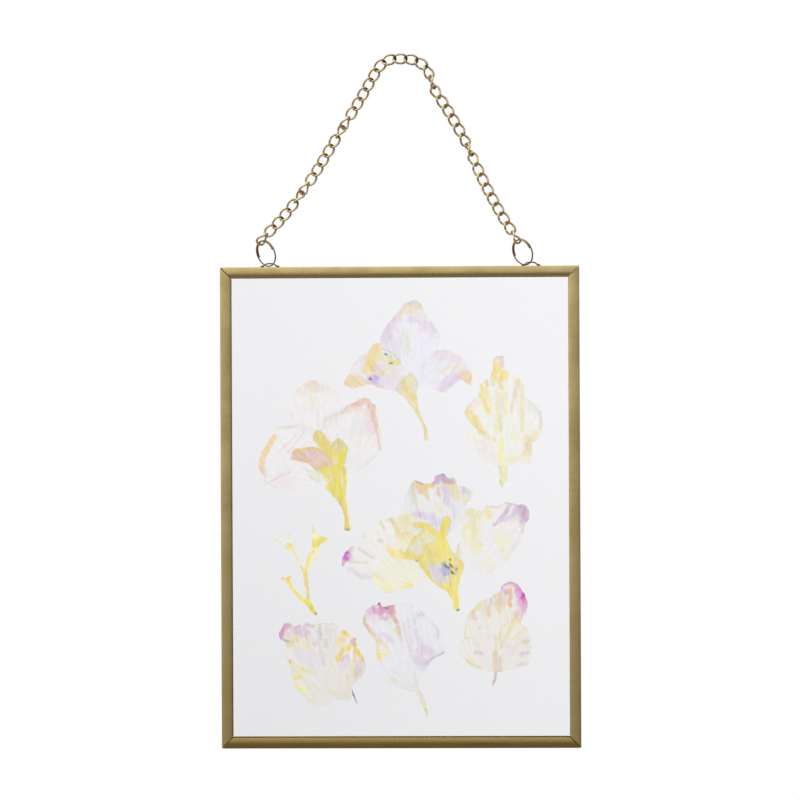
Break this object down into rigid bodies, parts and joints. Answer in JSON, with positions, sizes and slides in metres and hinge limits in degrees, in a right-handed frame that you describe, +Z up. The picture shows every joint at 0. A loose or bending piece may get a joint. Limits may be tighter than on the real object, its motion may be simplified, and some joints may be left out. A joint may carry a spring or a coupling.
{
  "type": "hanging pressed flower frame",
  "caption": "Double-glass frame with mitred brass rails, pressed flowers and petals between the panes, hung from a curb chain on split rings.",
  "frame": {"origin": "underside of the chain's top, where it lies over a round peg", "axes": "+X to the viewer's right, +Y away from the viewer towards the wall, +Z up"},
  "size_m": [0.15, 0.0096, 0.2905],
  "materials": {
    "frame_brass": "satin olive-gold brass, lightly aged, with fine lengthwise brushing",
    "chain_brass": "redder drawn brass wire, half bright and browned in the hollows",
    "clear_glass": "clear float glass, polished faces, faintly smudged",
    "pressed_petal": "thin dry petal, matt and half see-through, veined, with yellow, lilac and pink stains",
    "pollen_yellow": "dry yellow stamens, matt"
  },
  "bodies": {
    "chain": {"chain_link_01": "chain_brass", "chain_link_02": "chain_brass", "chain_link_03": "chain_brass", "chain_link_04": "chain_brass", "chain_link_05": "chain_brass", "chain_link_06": "chain_brass", "chain_link_07": "chain_brass", "chain_link_08": "chain_brass", "chain_link_09": "chain_brass", "chain_link_10": "chain_brass", "chain_link_11": "chain_brass", "chain_link_12": "chain_brass", "chain_link_13": "chain_brass", "chain_link_14": "chain_brass", "chain_link_15": "chain_brass", "chain_link_16": "chain_brass", "chain_link_17": "chain_brass", "chain_link_18": "chain_brass", "chain_link_19": "chain_brass", "chain_link_20": "chain_brass", "chain_link_21": "chain_brass", "chain_link_22": "chain_brass", "chain_link_23": "chain_brass", "chain_link_24": "chain_brass", "chain_link_25": "chain_brass", "chain_link_26": "chain_brass", "chain_link_27": "chain_brass", "chain_link_28": "chain_brass", "chain_link_29": "chain_brass", "chain_link_30": "chain_brass", "chain_link_31": "chain_brass", "chain_link_32": "chain_brass", "chain_link_33": "chain_brass", "chain_link_34": "chain_brass", "chain_link_35": "chain_brass", "chain_link_36": "chain_brass", "chain_link_37": "chain_brass", "chain_link_38": "chain_brass", "chain_link_39": "chain_brass", "chain_link_40": "chain_brass", "chain_link_41": "chain_brass", "chain_link_42": "chain_brass"},
    "rings": {"left_ring": "chain_brass", "right_ring": "chain_brass"},
    "frame": {"top_rail": "frame_brass", "right_rail": "frame_brass", "bottom_rail": "frame_brass", "left_rail": "frame_brass", "front_glass": "clear_glass", "back_glass": "clear_glass", "left_eye": "frame_brass", "right_eye": "frame_brass", "flower_top": "pressed_petal", "flower_left": "pressed_petal", "petal_right": "pressed_petal", "flower_centre": "pressed_petal", "stamen_sprig": "pollen_yellow", "petal_lower_left": "pressed_petal", "petal_lower_middle": "pressed_petal", "petal_lower_right": "pressed_petal"}
  },
  "joints": [
    {"name": "ring_swing", "type": "hinge", "parent": "chain", "child": "rings", "pos_m": [0, 0, -0.0734], "axis": [1, 0, 0], "range_deg": [-30, 30]},
    {"name": "frame_swing", "type": "hinge", "parent": "rings", "child": "frame", "pos_m": [0, 0, -0.08265], "axis": [1, 0, 0], "range_deg": [-50, 12]}
  ]
}
